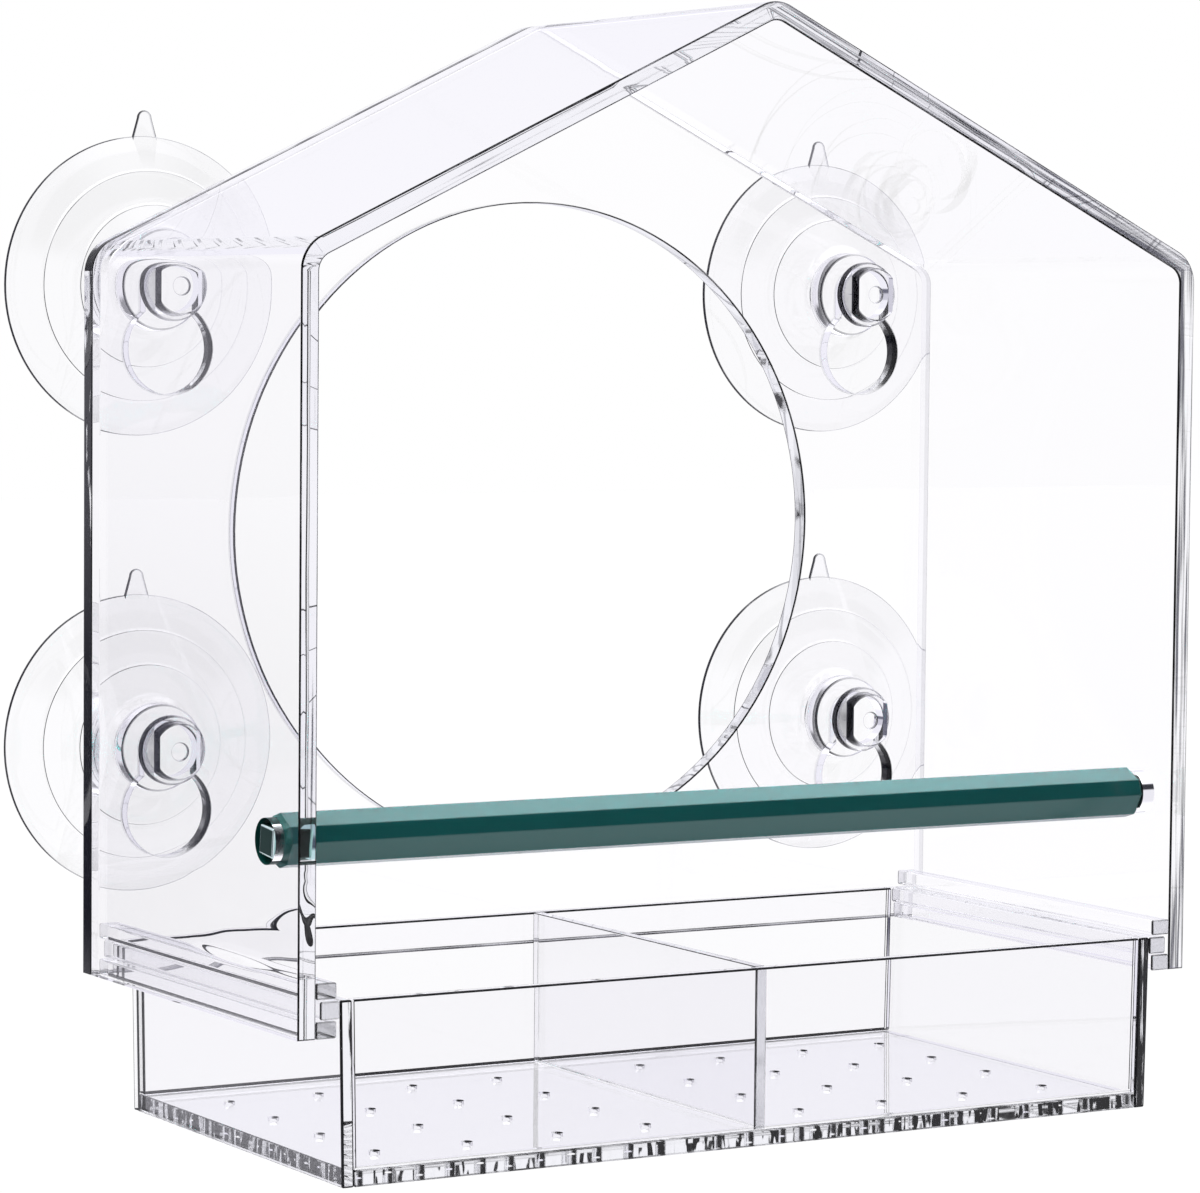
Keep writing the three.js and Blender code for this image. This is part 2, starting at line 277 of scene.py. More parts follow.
def prism(
    name, finishes, loops, low, high, place, edge=POLISHED_EDGE, rings=None, walls=(),
    line=0, ends=(0, 0), eases=(),
):
    """A closed plate: the first loop is its outline and the rest are holes.

    place turns (u, v, w) into the frame, with w running from low to high. The eased edges take
    the second finish. walls and eases give the numbers of each loop's own finishes, and ends
    those of the low and the high face. With a line, the walls are painted dark, as shade, from
    the low edge to that depth.
    """
    thickness = high - low
    rings = rings or edge_rings(thickness, edge, line or edge * WALL_START)
    ordered = []
    for i, loop in enumerate(loops):
        outline = i == 0
        ordered.append(loop if (signed_area(loop) > 0) == outline else loop[::-1])
    mesh = bmesh.new()
    made = []
    for inset, depth in rings:
        ring = []
        for loop in ordered:
            moved = moved_inwards(loop, inset) if inset else loop
            ring.append([mesh.verts.new(place(u, v, low + depth)) for u, v in moved])
        made.append(ring)
    for near, far, (inset, depth), (_, next_depth) in zip(made, made[1:], rings, rings[1:]):
        eased = next_depth - depth < thickness / 3
        lined = line and not inset and depth < line
        for number, (a, b) in enumerate(zip(near, far)):
            for i in range(len(a)):
                j = (i + 1) % len(a)
                face = mesh.faces.new((a[i], a[j], b[j], b[i]))
                if lined:
                    face.material_index = LINE
                elif eased:
                    chosen = eases[number] if eases else EASED
                    face.material_index = min(chosen, len(finishes) - 1)
                elif walls:
                    face.material_index = walls[number]
    for ring, (inset, _), end in ((made[0], rings[0], ends[0]), (made[-1], rings[-1], ends[1])):
        flat = [[Vector((u, v, 0)) for u, v in moved_inwards(loop, inset)] for loop in ordered]
        corners = [vertex for loop in ring for vertex in loop]
        for triangle in tessellate_polygon(flat):
            mesh.faces.new([corners[i] for i in triangle]).material_index = end
    data = bpy.data.meshes.new(name)
    to_outward_mesh(mesh, data)
    for finish in finishes:
        data.materials.append(finish)
    return new_object(name, data)


def to_outward_mesh(mesh, data):
    bmesh.ops.recalc_face_normals(mesh, faces=mesh.faces)
    mesh.to_mesh(data)
    mesh.free()


def across(u, v, w):
    """An outline in the XZ plane, with its thickness along Y."""
    return Vector((u, w, v))


def upright(u, v, w):
    """An outline in the XY plane, with its thickness along Z."""
    return Vector((u, v, w))


def sideways(u, v, w):
    """An outline in the YZ plane, with its thickness along X."""
    return Vector((w, u, v))


def apply_modifiers(piece):
    seen = piece.evaluated_get(bpy.context.evaluated_depsgraph_get())
    data = bpy.data.meshes.new_from_object(seen)
    piece.modifiers.clear()
    old = piece.data
    piece.data = data
    bpy.data.meshes.remove(old)
    data.name = piece.name


def only_used_finishes(piece):
    data = piece.data
    indices = [0] * len(data.polygons)
    data.polygons.foreach_get("material_index", indices)
    used = sorted(set(indices))
    finishes = [data.materials[i] for i in used]
    data.materials.clear()
    for finish in finishes:
        data.materials.append(finish)
    data.polygons.foreach_set("material_index", [used.index(i) for i in indices])


def combine(piece, tool, operation="DIFFERENCE"):
    """Cut the tool out of the piece, or join it on with UNION. The tool is used up."""
    only_used_finishes(piece)  # a Boolean mixes up the slots of a finish that is there twice
    modifier = piece.modifiers.new("combine", "BOOLEAN")
    modifier.operation = operation
    modifier.solver = "EXACT"
    modifier.material_mode = "TRANSFER"
    modifier.object = tool
    bpy.context.view_layer.update()
    apply_modifiers(piece)
    bpy.data.objects.remove(tool)


def refinish(piece, finish, wanted):
    """Give the finish to the faces that wanted picks."""
    for face in piece.data.polygons:
        if wanted(face):
            face.material_index = finish


def flat_faces_flat(piece):
    """Smooth rounded edges beside faces that stay optically flat."""
    piece.data.shade_smooth()
    piece.data.set_sharp_from_angle(angle=math.radians(35))
    modifier = piece.modifiers.new("normals", "WEIGHTED_NORMAL")
    modifier.keep_sharp = True
    modifier.weight = 90
    apply_modifiers(piece)


# Nodes

def new_node(tree, kind, inputs, **properties):
    """A node with these properties. Its inputs, by name or number, get a socket or a value."""
    made = tree.nodes.new(kind)
    for name, value in properties.items():
        setattr(made, name, value)
    for slot, value in inputs.items():
        if isinstance(value, bpy.types.NodeSocket):
            tree.links.new(value, made.inputs[slot])
        else:
            made.inputs[slot].default_value = value
    return made


def calculated(tree, operation, *values):
    """A Math node on sockets and numbers."""
    made = new_node(tree, "ShaderNodeMath", dict(enumerate(values)), operation=operation)
    return made.outputs[0]


def vector_maths(tree, operation, *values):
    """The outputs of a Vector Math node on sockets and triples of numbers."""
    made = new_node(tree, "ShaderNodeVectorMath", dict(enumerate(values)), operation=operation)
    return made.outputs


def xyz(tree, vector):
    """The X, Y and Z of a vector."""
    return new_node(tree, "ShaderNodeSeparateXYZ", {0: vector}).outputs


def combined(tree, x, y=0, z=0):
    return new_node(tree, "ShaderNodeCombineXYZ", {0: x, 1: y, 2: z}).outputs[0]


def mixed(tree, factor, first, second):
    """A colour between the first, at factor 0, and the second, at 1."""
    inputs = {0: factor, 6: first, 7: second}
    return new_node(tree, "ShaderNodeMix", inputs, data_type="RGBA").outputs[2]


def ramped(tree, value, low, high):
    """0 where value is below low, 1 above high, and smooth between."""
    inputs = {"Value": value, "From Min": low, "From Max": high}
    made = new_node(tree, "ShaderNodeMapRange", inputs, interpolation_type="SMOOTHSTEP")
    return made.outputs["Result"]


def noise(tree, place, scale, detail, roughness=0.5):
    inputs = {"Vector": place, "Scale": scale, "Detail": detail, "Roughness": roughness}
    return new_node(tree, "ShaderNodeTexNoise", inputs).outputs["Fac"]


def object_place(tree):
    return tree.nodes.new("ShaderNodeTexCoord").outputs["Object"]


def bounced(tree, kind, more_than):
    """1 for a ray with more than this many bounces of the kind behind it, and 0 for others."""
    path = tree.nodes.new("ShaderNodeLightPath")
    return calculated(tree, "GREATER_THAN", path.outputs[f"{kind} Depth"], more_than + 0.5)


# Studio: what a ray sees that leaves the object

WHITE = (1.0, 1.0, 1.0, 1.0)
PLAIN_LEVEL = (0.14, 0.14, 0.145, 1.0)
BOUNCE_LEVEL = (1.0, 1.0, 1.02, 1.0)
SOFTBOX_LEVEL = (17.0, 17.0, 17.3, 1.0)
SCREEN = (0.9, 0.89, 0.97, 1.0)
FLAG_HIGH = (0.6, 0.59, 0.68, 1.0)
FLAG_LOW = (0.1, 0.1, 0.15, 1.0)
FRONT_CARD = (0.85, 0.84, 0.9, 1.0)
FRONT_ROOM = (0.04, 0.04, 0.05, 1.0)
OVERHEAD = (2.2, 2.2, 2.3, 1.0)
UNDERFOOT = (1.3, 1.3, 1.35, 1.0)
INSIDE = (0.93, 0.93, 0.96, 1.0)
SIDE_CARD = (0.015, 0.015, 0.02, 1.0)

FLAG_AZIMUTH = math.radians(-29)
FLAG_HALF_ANGLE = math.radians(9)
FLAG_SIDE_FADE = 1.3
FLAG_TOP = 0.2
FLAG_TOP_FADE = 1.4
SIDE_CARD_AZIMUTH = math.radians(82)
SIDE_CARD_HALF_ANGLE = math.radians(20)
SIDE_CARD_FADE = 1.15
# Where a ray's direction goes over from one part to the next, in Z unless Y is named
FLAG_LOW_TO_HIGH = (-0.11, -0.01)
CARD_TO_ROOM = (0.12, 0.25)
SIDE_CARD_TOP = (0.45, 0.6)
TO_FAR_ENDS = (0.5, 0.7)
FRONT_TO_SCREEN_Y = (-0.3, 0.1)
SOFTBOX_Z = (0.2, 0.5)
SOFTBOX_Y = (0, 0.2)
PLAIN_TO_BOUNCE = (-0.2, -0.5)


def flagged_screen(tree, azimuth, height, z):
    """The pale screen behind, with a small dark flag that rays from deep inside don't see."""
    off_flag = calculated(tree, "ABSOLUTE", calculated(tree, "SUBTRACT", azimuth, FLAG_AZIMUTH))
    past_flag = calculated(
        tree, "MAXIMUM",
        ramped(tree, off_flag, FLAG_HALF_ANGLE, FLAG_HALF_ANGLE * FLAG_SIDE_FADE),
        ramped(tree, height, FLAG_TOP, FLAG_TOP * FLAG_TOP_FADE),
    )
    past_flag = calculated(tree, "MAXIMUM", past_flag, bounced(tree, "Transmission", 2))
    flag = mixed(tree, ramped(tree, z, *FLAG_LOW_TO_HIGH), FLAG_LOW, FLAG_HIGH)
    return mixed(tree, past_flag, flag, SCREEN)


def past_side_cards(tree, azimuth, height):
    """0 at the dark card on each side, and 1 elsewhere."""
    to_card = calculated(
        tree, "SUBTRACT", calculated(tree, "ABSOLUTE", azimuth), SIDE_CARD_AZIMUTH,
    )
    beside = ramped(
        tree, calculated(tree, "ABSOLUTE", to_card),
        SIDE_CARD_HALF_ANGLE, SIDE_CARD_HALF_ANGLE * SIDE_CARD_FADE,
    )
    return calculated(tree, "MAXIMUM", beside, ramped(tree, height, *SIDE_CARD_TOP))


def lighting_colour(tree, y, z):
    """What lights matt surfaces: a softbox high behind, pale light from below, and little else."""
    softbox = calculated(tree, "MULTIPLY", ramped(tree, z, *SOFTBOX_Z), ramped(tree, y, *SOFTBOX_Y))
    plain = mixed(tree, ramped(tree, z, *PLAIN_TO_BOUNCE), PLAIN_LEVEL, BOUNCE_LEVEL)
    return mixed(tree, softbox, plain, SOFTBOX_LEVEL)


def studio_colour(tree, direction):
    """The colour a ray sees outside the object, from the socket with its direction.

    A ray that came straight, or straight through clear sheet, sees plain white. A ray that a
    surface turned sees the studio: a pale screen behind with a small dark flag at the left, a
    pale card and a dark room above it in front, a bright ceiling, and a dark card at each side,
    which draws the sheets' edges. A ray that comes from inside an edge sees pale light.
    """
    x, y, z = xyz(tree, direction)
    height = calculated(tree, "ABSOLUTE", z)
    azimuth = calculated(tree, "ARCTAN2", x, y)
    screen = flagged_screen(tree, azimuth, height, z)
    room = mixed(tree, ramped(tree, z, *CARD_TO_ROOM), FRONT_CARD, FRONT_ROOM)
    studio = mixed(tree, ramped(tree, y, *FRONT_TO_SCREEN_Y), room, screen)
    far_end = mixed(tree, calculated(tree, "GREATER_THAN", z, 0), UNDERFOOT, OVERHEAD)
    studio = mixed(tree, ramped(tree, height, *TO_FAR_ENDS), studio, far_end)
    studio = mixed(tree, past_side_cards(tree, azimuth, height), SIDE_CARD, studio)
    studio = mixed(tree, bounced(tree, "Glossy", 1), studio, INSIDE)
    seen = mixed(tree, bounced(tree, "Glossy", 0), WHITE, studio)
    return mixed(tree, bounced(tree, "Diffuse", 0), seen, lighting_colour(tree, y, z))


def studio_world():
    world = bpy.data.worlds.new("studio")
    bpy.context.scene.world = world
    world.use_nodes = True
    tree = world.node_tree
    place = tree.nodes.new("ShaderNodeTexCoord")
    colour = studio_colour(tree, place.outputs["Generated"])
    tree.links.new(colour, tree.nodes["Background"].inputs["Color"])


studio_world()


# Materials

FACE_IOR = 1.27  # below acrylic's 1.49, for faces as free of reflections as in the photograph
GRAZED_IOR = 1.12  # lower still, where the camera sees the sheet at a grazing angle
EDGE_IOR = 1.49
DULL_IOR = 1.2
SHEET_COLOUR = (0.994, 0.99, 1.0, 1)
# Colours of the painted shade on edges: its darkest, the pale it turns to, a grey and a near black
EDGE_PAINTED_SHADE = (0.00002, 0.00002, 0.00003, 1)
PALE_EDGE = (0.98, 0.98, 1.0, 1)
GREY_PAINTED_SHADE = (0.2, 0.2, 0.22, 1)
NEAR_BLACK_PAINTED_SHADE = (0.012, 0.012, 0.014, 1)
RIPPLE = 0.05
RIPPLE_DEPTH = 0.0005
STREAK_BLEND = 0.05
# How fast the painted shade on the panel's left side thins out upwards
PANEL_SIDE_LEAN = 1.8

# The warped part of the left wall, from where its share is 0 to where it is 1
WARP_DEPTH = 0.0011
WARP_FOOT = (FOOT + 0.0125, FOOT + 0.0165)
WARP_TOP = (FOOT + 0.034, FOOT + 0.024)
WARP_REAR = (FRONT + 0.06, FRONT + 0.035)

# The painted shade streaks in the canopy's front: how many to a metre, and how they darken
STREAKS_ACROSS = 1100
STREAKS_ALONG = 22
DARKER_TO_RIGHT = -0.8
DARK_TO_PALE = (0.3, 0.5)
FRONT_PAINTED_SHADE = (0.03, 0.03, 0.04, 1)
FRONT_PALE = (0.97, 0.97, 0.99, 1)


def new_material(name, settings):
    """A material with these settings of its shader."""
    material = bpy.data.materials.new(name)
    material.use_nodes = True
    shader = material.node_tree.nodes["Principled BSDF"]
    for setting, value in settings.items():
        shader.inputs[setting].default_value = value
    return material, material.node_tree, shader


def clear(ior, roughness=0.0):
    """The settings that all clear finishes share."""
    return {"IOR": ior, "Roughness": roughness, "Transmission Weight": 1.0}


def bump(tree, shader, height, strength, distance):
    inputs = {"Height": height, "Strength": strength, "Distance": distance}
    made = new_node(tree, "ShaderNodeBump", inputs)
    tree.links.new(made.outputs["Normal"], shader.inputs["Normal"])


def clear_sheet(name, colour, ripple=RIPPLE, roughness=0.0, ior=FACE_IOR):
    """Polished clear sheet with a faint ripple from its making."""
    settings = {"Base Color": colour, **clear(ior, roughness)}
    material, tree, shader = new_material(name, settings)
    height = noise(tree, object_place(tree), scale=28.0, detail=1.0)
    bump(tree, shader, height, strength=ripple, distance=RIPPLE_DEPTH)
    return material


def warped_wall():
    """The left wall's outside, a little warped just above the guide strips at the front."""
    settings = {"Base Color": SHEET_COLOUR, **clear(FACE_IOR)}
    material, tree, shader = new_material("warped clear acrylic", settings)
    place = object_place(tree)
    _, y, z = xyz(tree, place)
    in_height = calculated(
        tree, "MULTIPLY", ramped(tree, z, *WARP_TOP), ramped(tree, z, *WARP_FOOT),
    )
    share = calculated(tree, "MULTIPLY", in_height, ramped(tree, y, *WARP_REAR))
    height = calculated(tree, "MULTIPLY", noise(tree, place, scale=45.0, detail=0.0), share)
    bump(tree, shader, height, strength=1.0, distance=WARP_DEPTH)
    return material


def soft_vinyl():
    settings = {"Base Color": (0.975, 0.973, 0.985, 1), **clear(ior=1.52, roughness=0.02)}
    return new_material("soft clear vinyl", settings)[0]


def painted_shade_colour(name, colour):
    """A matt dark colour of painted shade, for edges that show as a dark line."""
    settings = {"Base Color": colour, "Roughness": 0.4, "Specular IOR Level": 0.1}
    return new_material(name, settings)[0]


def green_plastic():
    settings = {"Base Color": (0.008, 0.1, 0.096, 1), "Roughness": 0.16, "IOR": 1.5}
    return new_material("dark green plastic", settings)[0]


def stub_edge_painted_highlight():
    """The stub's rounded edge, which shows as a pale line: a painted highlight in pale metal."""
    settings = {"Base Color": (0.7, 0.85, 0.83, 1), "Metallic": 1.0, "Roughness": 0.25}
    return new_material("stub edge with painted highlight", settings)[0]


def painted_shade_streaks(name, stretch, dark_share, groups=0.0, lean=None):
    """An edge with painted shade in dark and clear streaks across it; stretch scales the noise along
    X, Y, Z.

    groups makes finer streaks that stand in groups, and there is less painted shade towards lean.
    """
    material, tree, shader = new_material(name, clear(EDGE_IOR, roughness=0.03))
    place = object_place(tree)
    stretched = vector_maths(tree, "MULTIPLY", place, stretch)[0]
    shade = noise(tree, stretched, scale=1.0, detail=4.0, roughness=0.65)
    if groups:
        fine = noise(tree, stretched, scale=6.0, detail=1.0)
        grouped = calculated(tree, "MULTIPLY", calculated(tree, "SUBTRACT", shade, 0.5), groups)
        shade = calculated(tree, "ADD", fine, grouped)
    if lean:
        along = vector_maths(tree, "DOT_PRODUCT", place, lean)["Value"]
        shade = calculated(tree, "ADD", shade, along)
    paler = ramped(tree, shade, dark_share, dark_share + STREAK_BLEND)
    tree.links.new(mixed(tree, paler, EDGE_PAINTED_SHADE, PALE_EDGE), shader.inputs["Base Color"])
    return material


def painted_shade_front():
    """The canopy's front end, painted with streaks of shade that follow the sheet and grow darker to
    the right.
    """
    material, tree, shader = new_material("painted shade streaks on the canopy front", clear(FACE_IOR))
    x, _, z = xyz(tree, object_place(tree))
    side = calculated(tree, "ABSOLUTE", x)
    from_wall = calculated(tree, "SUBTRACT", side, HALF_WIDTH)
    from_ridge = calculated(tree, "SUBTRACT", z, FOOT + WALL_HEIGHT + ROOF_RISE)
    from_roof = calculated(
        tree, "ADD", calculated(tree, "MULTIPLY", side, math.sin(ROOF_ANGLE)),
        calculated(tree, "MULTIPLY", from_ridge, math.cos(ROOF_ANGLE)),
    )
    in_sheet = calculated(tree, "MAXIMUM", from_wall, from_roof)
    place = combined(
        tree, calculated(tree, "MULTIPLY", in_sheet, STREAKS_ACROSS),
        calculated(tree, "MULTIPLY", x, STREAKS_ALONG),
        calculated(tree, "MULTIPLY", z, STREAKS_ALONG),
    )
    darker = calculated(tree, "MULTIPLY", x, DARKER_TO_RIGHT)
    shade = calculated(tree, "ADD", noise(tree, place, scale=1.0, detail=2.0), darker)
    paler = ramped(tree, shade, *DARK_TO_PALE)
    tree.links.new(mixed(tree, paler, FRONT_PAINTED_SHADE, FRONT_PALE), shader.inputs["Base Color"])
    return material


def edge_in_painted_shade(name, ior, faces_right, wander, scale, dark=EDGE_PAINTED_SHADE, pale=PALE_EDGE):
    """A clear edge with painted shade, in streaks from dark to pale.

    It is painted darker on its side that faces left, and turns paler where its outward normal's X
    goes from the low to the high number in faces_right; noise of the strength wander moves that limit
    about.
    """
    material, tree, shader = new_material(name, clear(ior, roughness=0.03))
    geometry = tree.nodes.new("ShaderNodeNewGeometry")
    from_inside = calculated(tree, "MULTIPLY_ADD", geometry.outputs["Backfacing"], -2, 1)
    normal_x = xyz(tree, geometry.outputs["True Normal"])["X"]
    outward = calculated(tree, "MULTIPLY", normal_x, from_inside)
    spread = noise(tree, object_place(tree), scale, detail=3.0)
    moved = calculated(tree, "MULTIPLY", calculated(tree, "SUBTRACT", spread, 0.5), wander)
    paler = ramped(tree, calculated(tree, "ADD", outward, moved), *faces_right)
    tree.links.new(mixed(tree, paler, dark, pale), shader.inputs["Base Color"])
    return material


def sheet_finishes(face, **others):
    """The finishes in the order of SLOTS. The slots a sheet has no use for get its face's."""
    return [others.get(slot, face) for slot in SLOTS]


ACRYLIC = clear_sheet("clear acrylic sheet", SHEET_COLOUR)
TRAY_ACRYLIC = clear_sheet("clear tray acrylic", (0.96, 0.957, 0.97, 1))
STRIP_END = clear_sheet("strip end", (0.8, 0.8, 0.83, 1), roughness=0.25)
# Eased edges in painted shade, darker where they face left
EASED_EDGE = edge_in_painted_shade(
    "eased acrylic edge", DULL_IOR, (-0.3, 1.6), wander=3, scale=60, pale=GREY_PAINTED_SHADE,
)
SOFT_LINE = edge_in_painted_shade("eased strip edge", EDGE_IOR, (-0.5, 1.0), wander=3, scale=60)
# Painted shade: a near-black line along the edges of clear sheet
RIM_LINE = painted_shade_colour("rim line in painted shade", NEAR_BLACK_PAINTED_SHADE)
# The canopy's eased edges and its front end carry painted shade
CANOPY_SHEET = sheet_finishes(
    ACRYLIC, eased=EASED_EDGE, end=painted_shade_front(), warped=warped_wall(),
    right_half=clear_sheet("clear acrylic right half", (0.99, 0.985, 1.0, 1), ior=GRAZED_IOR),
)
# The panel's walls and rims carry painted shade, darker where they face left, and its left side dark
# streaks of it
PANEL_SHEET = sheet_finishes(
    ACRYLIC, eased=EASED_EDGE, line=RIM_LINE,
    sawn=edge_in_painted_shade("round hole wall in painted shade", EDGE_IOR, (-1.5, -1.15), wander=3, scale=90),
    long=edge_in_painted_shade("panel's edge wall in painted shade", DULL_IOR, (-0.85, -0.6), wander=1.4, scale=90),
    end=edge_in_painted_shade("keyhole wall", EDGE_IOR, (-0.95, -0.5), wander=1.6, scale=120),
    outline=edge_in_painted_shade(
        "panel outline", DULL_IOR, (-0.2, 0.4), wander=1, scale=60, pale=(0.3, 0.3, 0.32, 1),
    ),
    keyhole=edge_in_painted_shade(
        "eased keyhole edge", DULL_IOR, (-0.6, 0.1), wander=1.6, scale=90,
        pale=(0.7, 0.7, 0.73, 1),
    ),
    left_side=painted_shade_streaks(
        "painted shade streaks on the panel side", (500, 300, 30), dark_share=0.79 + PANEL_SIDE_LEAN * FOOT,
        lean=(0, 0, PANEL_SIDE_LEAN),
    ),
)
STRIP = sheet_finishes(ACRYLIC, eased=SOFT_LINE, line=RIM_LINE, end=STRIP_END)
TRAY_STRIP = sheet_finishes(TRAY_ACRYLIC, eased=SOFT_LINE, line=RIM_LINE, end=STRIP_END)
# The tray's eased edges are painted near black, and the front ends of its sides in dark streaks, as
# shade
TRAY_SHEET = sheet_finishes(
    TRAY_ACRYLIC, eased=painted_shade_colour("tray edge in painted shade", NEAR_BLACK_PAINTED_SHADE),
    end=painted_shade_streaks(
        "painted shade streaks on the tray sheet's end", (700, 100, 25), dark_share=0.45, lean=(-0.9, 0, 0),
    ),
)
# The floor plate's eased edges and walls carry painted shade, the walls in streaks
FLOOR_SHEET = sheet_finishes(
    TRAY_ACRYLIC, eased=SOFT_LINE,
    long=painted_shade_streaks(
        "painted shade streaks on the floor edge", (110, 110, 20), dark_share=0.38, groups=1.2, lean=(-0.7, 0, 0),
    ),
    end=painted_shade_streaks("painted shade streaks on the floor side", (110, 110, 20), dark_share=0.52, groups=1.2),
)
# The drains' walls carry painted shade, darker where they face left
DRAIN_WALL = edge_in_painted_shade("drain wall", DULL_IOR, (-0.4, 0.1), wander=1, scale=90)
# The left perch hole's wall is tinted green and painted dark green: a painted reflection of the
# shaded perch
LEFT_PERCH_HOLE = clear_sheet("left perch hole", (0.3, 0.6, 0.57, 1), ripple=0.0, ior=DULL_IOR)
RIGHT_PERCH_HOLE = clear_sheet("right perch hole", PALE_EDGE, ripple=0.0, ior=EDGE_IOR)
PERCH_REFLECTION_IN_HOLE = painted_shade_colour("painted reflection of the perch in the hole", (0.002, 0.03, 0.026, 1))
# The cups' clear vinyl, and the painted shade on their rims and steps, darker where they face left
CUP = (
    soft_vinyl(),
    edge_in_painted_shade(
        "eased vinyl edge", DULL_IOR, (-0.5, 0.4), wander=1.8, scale=60,
        dark=(0.001, 0.001, 0.0015, 1), pale=(0.6, 0.6, 0.64, 1),
    ),
)
# The bar's ends and chamfers take a darker copy of its green: painted shade
BAR = (green_plastic(), painted_shade_colour("perch end in painted shade", (0.004, 0.08, 0.07, 1)))
# The stub: the perch's green painted much darker, as shade, with a painted highlight on its rounded
# edges
STUB = (painted_shade_colour("perch stub in painted shade", (0.0015, 0.014, 0.012, 1)), stub_edge_painted_highlight())


def dress(piece, body, slot, *nodes):
    only_used_finishes(piece)
    flat_faces_flat(piece)
    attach(piece, body)
    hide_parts(*nodes)


# House

GREEN_SHARE = 0.6  # of its radius: how far in front of its axis the left hole's wall has the painted reflection of the perch


def drill_for_perch(piece, side):
    """A round hole in the left (-1) or the right (1) wall. Only the left one shows green, a painted
    reflection of the shaded perch.
    """
    low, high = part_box("perch_bar")
    axis = (low + high) / 2
    drill = prism(
        "drill", (LEFT_PERCH_HOLE, PERCH_REFLECTION_IN_HOLE) if side < 0 else (RIGHT_PERCH_HOLE,),
        [circle(axis.y, axis.z, PERCH_HOLE, DRILL_STEPS)],
        side * HALF_WIDTH - 2 * THICKNESS, side * HALF_WIDTH + 2 * THICKNESS, sideways,
    )
    if side < 0:
        refinish(drill, 1, lambda face: face.center.y > axis.y - GREEN_SHARE * PERCH_HOLE)
    combine(piece, drill)


def house_canopy():
    outside = gable(0, BEND_INSIDE + THICKNESS)
    inside = gable(THICKNESS, BEND_INSIDE)
    piece = prism(
        "canopy_sheet", CANOPY_SHEET, [outside + inside[::-1]], FRONT, CANOPY_REAR, across,
        ends=(END, FACE),
    )
    # The rear edges are bonded to the panel and don't show
    middle = (FRONT + CANOPY_REAR) / 2
    refinish(piece, FACE, lambda face: face.material_index == EASED and face.center.y > middle)
    refinish(
        piece, RIGHT_HALF,
        lambda face: face.material_index == FACE and face.center.x > 0
        and abs(face.normal.y) < SLIGHTLY,
    )
    refinish(piece, WARPED, lambda face: face.normal.x < -SQUARELY and face.center.x < 0)
    for side in (-1, 1):
        drill_for_perch(piece, side)
    dress(piece, "house", "clear_acrylic", "house_canopy")


def cup_centre(cup):
    low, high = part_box(f"suction_cup_{cup}")
    radius = (high.x - low.x) / 2
    return (low.x + high.x) / 2, low.z + radius


CUPS = ("upper_left", "upper_right", "lower_left", "lower_right")


def back_panel():
    keyholes = [keyhole(*cup_centre(cup)) for cup in CUPS]
    hole = circle(0, FOOT + ROUND_HOLE_HEIGHT, ROUND_HOLE)
    piece = prism(
        "panel_sheet", PANEL_SHEET, [gable(0, BEND_INSIDE + THICKNESS), hole, *keyholes],
        PANEL_FRONT, PANEL_REAR, across, line=HOLE_LINE,
        walls=[LONG, SAWN] + [END] * len(keyholes),
        eases=[OUTLINE, EASED] + [KEYHOLE] * len(keyholes),
    )

    def on_hole(face):
        from_centre = Vector((face.center.x, face.center.z - FOOT - ROUND_HOLE_HEIGHT))
        return abs(from_centre.length - ROUND_HOLE) < POLISHED_EDGE

    refinish(piece, LEFT_SIDE, lambda face: face.center.x < -HALF_WIDTH + HAIR)
    # The round hole's painted shade: its front rim is black only at its left, and its rear rim only
    # at its right
    middle = (PANEL_FRONT + PANEL_REAR) / 2
    refinish(
        piece, SAWN,
        lambda face: face.material_index == LINE and on_hole(face) and face.center.x > 0,
    )
    refinish(piece, KEYHOLE, lambda face: face.material_index == LINE and not on_hole(face))
    refinish(
        piece, KEYHOLE,
        lambda face: face.material_index == EASED and face.center.x < 0 and face.center.y > middle,
    )
    dress(piece, "house", "clear_acrylic", "back_panel")


def strip_in_box(name, finishes, low, high, radius=STRIP_EDGE, rear=END):
    """A straight strip with eased edges that fills a node's box."""
    outline = rectangle(low.x, low.z, high.x, high.z, radius)
    return prism(name, finishes, [outline], low.y, high.y, across, ends=(END, rear))


def guide_strips():
    for level in ("lower", "upper"):
        for side in ("left", "right"):
            node_name = f"{level}_guide_strip_{side}"
            piece = strip_in_box(f"{level}_strip_{side}", STRIP, *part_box(node_name))
            if side == "left":
                # The left strips' lower right edge is painted near black, as shade
                refinish(
                    piece, LINE,
                    lambda face: face.normal.x > TILTED and face.normal.z < -TILTED
                    and abs(face.normal.y) < SLIGHTLY,
                )
            dress(piece, "house", "clear_acrylic", node_name)


house_canopy()
back_panel()
guide_strips()


# Tray

def geometry_tree(name, inputs, result):
    """An empty node tree with these inputs, each with its kind, and a geometry as its result."""
    tree = bpy.data.node_groups.new(name, "GeometryNodeTree")
    for label, kind in inputs.items():
        tree.interface.new_socket(label, in_out="INPUT", socket_type=f"NodeSocket{kind}")
    tree.interface.new_socket(result, in_out="OUTPUT", socket_type="NodeSocketGeometry")
    return tree


def apply_tree(piece, tree, values):
    """Make the piece what the tree gives with these named inputs."""
    modifier = piece.modifiers.new("tree", "NODES")
    modifier.node_group = tree
    for item in tree.interface.items_tree:
        if item.item_type == "SOCKET" and item.in_out == "INPUT" and item.name in values:
            modifier[item.identifier] = values[item.name]
    bpy.context.view_layer.update()
    apply_modifiers(piece)


